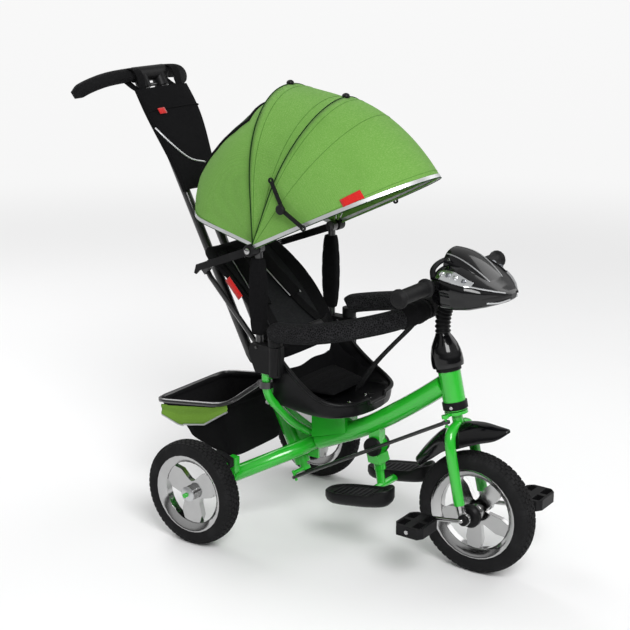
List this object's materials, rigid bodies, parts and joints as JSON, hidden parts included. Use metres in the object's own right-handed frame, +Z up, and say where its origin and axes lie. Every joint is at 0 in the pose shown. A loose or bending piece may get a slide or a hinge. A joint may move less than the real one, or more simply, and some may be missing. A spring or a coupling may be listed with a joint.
{
  "type": "children's push tricycle",
  "caption": "Children's tricycle with a steering push handle, folding canopy, reclining seat, safety bar, footrests, rear basket and toy dashboard.",
  "frame": {"origin": "on the ground, at the middle of the box in plan", "axes": "+Z up; -Y is the front, where the front wheel is; +X is the rider's left"},
  "size_m": [0.5078, 1.029, 0.9522],
  "materials": {
    "green_paint": "glossy bright green powder coat",
    "black_paint": "black powder coat",
    "chrome": "bright plated",
    "tyre": "matt black foam tyre with a block tread",
    "soft_grip": "soft black foam or rubber",
    "clear_plastic": "silvered clear lens",
    "canopy_fabric": "woven green polyester",
    "black_fabric": "woven black polyester",
    "black_plastic": "moulded black plastic"
  },
  "bodies": {
    "frame": {"main_frame": "green_paint", "rear_fork": "green_paint", "seat_upright_left": "green_paint", "seat_upright_right": "green_paint", "side_bracket_left": "black_plastic", "side_bracket_right": "black_plastic", "canopy_post_left": "black_paint", "canopy_post_right": "black_paint", "post_sleeve_left": "black_fabric", "post_sleeve_right": "black_fabric", "seat_shell": "black_plastic", "seat_pad": "black_fabric", "basket": "black_fabric", "basket_frame": "black_paint", "canopy_rear_bow": "black_plastic", "canopy_curtain": "canopy_fabric"},
    "steering": {"fork": "green_paint", "fork_tip_left": "chrome", "fork_tip_right": "chrome", "fender": "black_plastic", "handlebar": "chrome", "stem_boot": "black_plastic", "grip_left": "soft_grip", "grip_right": "soft_grip", "headlight_left": "clear_plastic", "headlight_right": "clear_plastic", "console": "black_plastic"},
    "front_wheel": {"tyre_front": "tyre", "rim_front": "chrome", "crank": "chrome"},
    "pedal_left": {"pedal_left": "black_plastic"},
    "pedal_right": {"pedal_right": "black_plastic"},
    "rear_wheel_left": {"tyre_rear_left": "tyre", "rim_rear_left": "chrome"},
    "rear_wheel_right": {"tyre_rear_right": "tyre", "rim_rear_right": "chrome"},
    "push_handle": {"handle_column": "green_paint", "push_rails": "black_paint", "push_grip": "soft_grip", "handle_bag": "black_fabric"},
    "link_rod": {"link_rod": "black_paint"},
    "backrest": {"backrest_pad": "black_fabric", "backrest_frame": "black_paint"},
    "recline_arm_left": {"recline_arm_left": "black_plastic"},
    "recline_arm_right": {"recline_arm_right": "black_plastic"},
    "safety_bar_left": {"safety_bar_left": "soft_grip"},
    "safety_bar_right": {"safety_bar_right": "soft_grip"},
    "canopy_front": {"canopy_front_bow": "black_plastic", "canopy_middle": "canopy_fabric"},
    "canopy_visor": {"canopy_visor_bow": "black_plastic", "canopy_visor": "canopy_fabric"},
    "stay_upper_left": {"stay_upper_left": "black_plastic"},
    "stay_upper_right": {"stay_upper_right": "black_plastic"},
    "stay_lower_left": {"stay_lower_left": "black_plastic"},
    "stay_lower_right": {"stay_lower_right": "black_plastic"},
    "footrest": {"footrest_stem": "green_paint", "foot_pad_left": "black_plastic", "foot_pad_right": "black_plastic"},
    "brake_lever_left": {"brake_lever_left": "black_plastic"},
    "brake_lever_right": {"brake_lever_right": "black_plastic"}
  },
  "joints": [
    {"name": "steer", "type": "hinge", "parent": "frame", "child": "steering", "pos_m": [0, -0.33648, 0.329], "axis": [0, 0.225, 0.9744], "range_deg": [-25, 25]},
    {"name": "front_wheel_spin", "type": "hinge", "parent": "steering", "child": "front_wheel", "pos_m": [0, -0.38948, 0.125], "axis": [1, 0, 0], "continuous": true},
    {"name": "pedal_left_spin", "type": "hinge", "parent": "front_wheel", "child": "pedal_left", "pos_m": [0.112, -0.46009, 0.13242], "axis": [1, 0, 0], "continuous": true},
    {"name": "pedal_right_spin", "type": "hinge", "parent": "front_wheel", "child": "pedal_right", "pos_m": [-0.112, -0.31886, 0.11758], "axis": [1, 0, 0], "continuous": true},
    {"name": "rear_wheel_left_spin", "type": "hinge", "parent": "frame", "child": "rear_wheel_left", "pos_m": [0.224, 0.15352, 0.1115], "axis": [1, 0, 0], "continuous": true},
    {"name": "rear_wheel_right_spin", "type": "hinge", "parent": "frame", "child": "rear_wheel_right", "pos_m": [-0.224, 0.15352, 0.1115], "axis": [1, 0, 0], "continuous": true},
    {"name": "push_handle_turn", "type": "hinge", "parent": "frame", "child": "push_handle", "pos_m": [0, 0.03453, 0.13], "axis": [0, 0.454, 0.891], "range_deg": [-25, 25]},
    {"name": "link_rod_swing", "type": "hinge", "parent": "push_handle", "child": "link_rod", "pos_m": [-0.034, 0.03052, 0.10892], "axis": [0, 0.454, 0.891], "range_deg": [-25, 25]},
    {"name": "backrest_recline", "type": "hinge", "parent": "frame", "child": "backrest", "pos_m": [0, 0.04652, 0.424], "axis": [1, 0, 0], "range_deg": [0, 25]},
    {"name": "recline_arm_left_turn", "type": "hinge", "parent": "frame", "child": "recline_arm_left", "pos_m": [0, 0.04952, 0.6265], "axis": [1, 0, 0], "range_deg": [0, 15]},
    {"name": "recline_arm_right_turn", "type": "hinge", "parent": "frame", "child": "recline_arm_right", "pos_m": [0, 0.04952, 0.6265], "axis": [1, 0, 0], "range_deg": [0, 15]},
    {"name": "safety_bar_left_open", "type": "hinge", "parent": "frame", "child": "safety_bar_left", "pos_m": [0.133, 0.00653, 0.44], "axis": [0, 0, 1], "range_deg": [0, 80]},
    {"name": "safety_bar_right_open", "type": "hinge", "parent": "frame", "child": "safety_bar_right", "pos_m": [-0.133, 0.00653, 0.44], "axis": [0, 0, -1], "range_deg": [0, 80]},
    {"name": "canopy_fold", "type": "hinge", "parent": "frame", "child": "canopy_front", "pos_m": [0, 0.04952, 0.6265], "axis": [-1, 0, 0], "range_deg": [0, 18]},
    {"name": "canopy_visor_fold", "type": "hinge", "parent": "canopy_front", "child": "canopy_visor", "pos_m": [0, 0.04952, 0.6265], "axis": [-1, 0, 0], "range_deg": [0, 40]},
    {"name": "stay_upper_left_turn", "type": "hinge", "parent": "canopy_front", "child": "stay_upper_left", "pos_m": [0.161, -0.00751, 0.77278], "axis": [-1, 0, 0], "range_deg": [-79.99, 0]},
    {"name": "stay_lower_left_turn", "type": "hinge", "parent": "canopy_visor", "child": "stay_lower_left", "pos_m": [0.165, -0.08642, 0.68989], "axis": [-1, 0, 0], "range_deg": [0, 16.82]},
    {"name": "stay_upper_right_turn", "type": "hinge", "parent": "canopy_front", "child": "stay_upper_right", "pos_m": [-0.161, -0.00751, 0.77278], "axis": [-1, 0, 0], "range_deg": [-79.99, 0]},
    {"name": "stay_lower_right_turn", "type": "hinge", "parent": "canopy_visor", "child": "stay_lower_right", "pos_m": [-0.165, -0.08642, 0.68989], "axis": [-1, 0, 0], "range_deg": [0, 16.82]},
    {"name": "footrest_fold", "type": "hinge", "parent": "frame", "child": "footrest", "pos_m": [0, -0.15348, 0.213], "axis": [1, 0, 0], "range_deg": [0, 60]},
    {"name": "brake_lever_left_press", "type": "hinge", "parent": "frame", "child": "brake_lever_left", "pos_m": [0.178, 0.09552, 0.1735], "axis": [-1, 0, 0], "range_deg": [0, 25], "stiffness_Nm_per_rad": 0.3},
    {"name": "brake_lever_right_press", "type": "hinge", "parent": "frame", "child": "brake_lever_right", "pos_m": [-0.178, 0.09552, 0.1735], "axis": [-1, 0, 0], "range_deg": [0, 25], "stiffness_Nm_per_rad": 0.3}
  ],
  "couplings": [
    {"joint": "push_handle_turn", "follows": "steer", "ratio": 1},
    {"joint": "link_rod_swing", "follows": "steer", "ratio": -1},
    {"joint": "recline_arm_left_turn", "follows": "backrest_recline", "ratio": 0.565},
    {"joint": "recline_arm_right_turn", "follows": "backrest_recline", "ratio": 0.565},
    {"joint": "canopy_visor_fold", "follows": "canopy_fold", "ratio": 2.2},
    {"joint": "stay_upper_left_turn", "follows": "canopy_fold", "ratio": -4.4106},
    {"joint": "stay_lower_left_turn", "follows": "canopy_fold", "ratio": 0.9013},
    {"joint": "stay_upper_right_turn", "follows": "canopy_fold", "ratio": -4.4106},
    {"joint": "stay_lower_right_turn", "follows": "canopy_fold", "ratio": 0.9013}
  ]
}
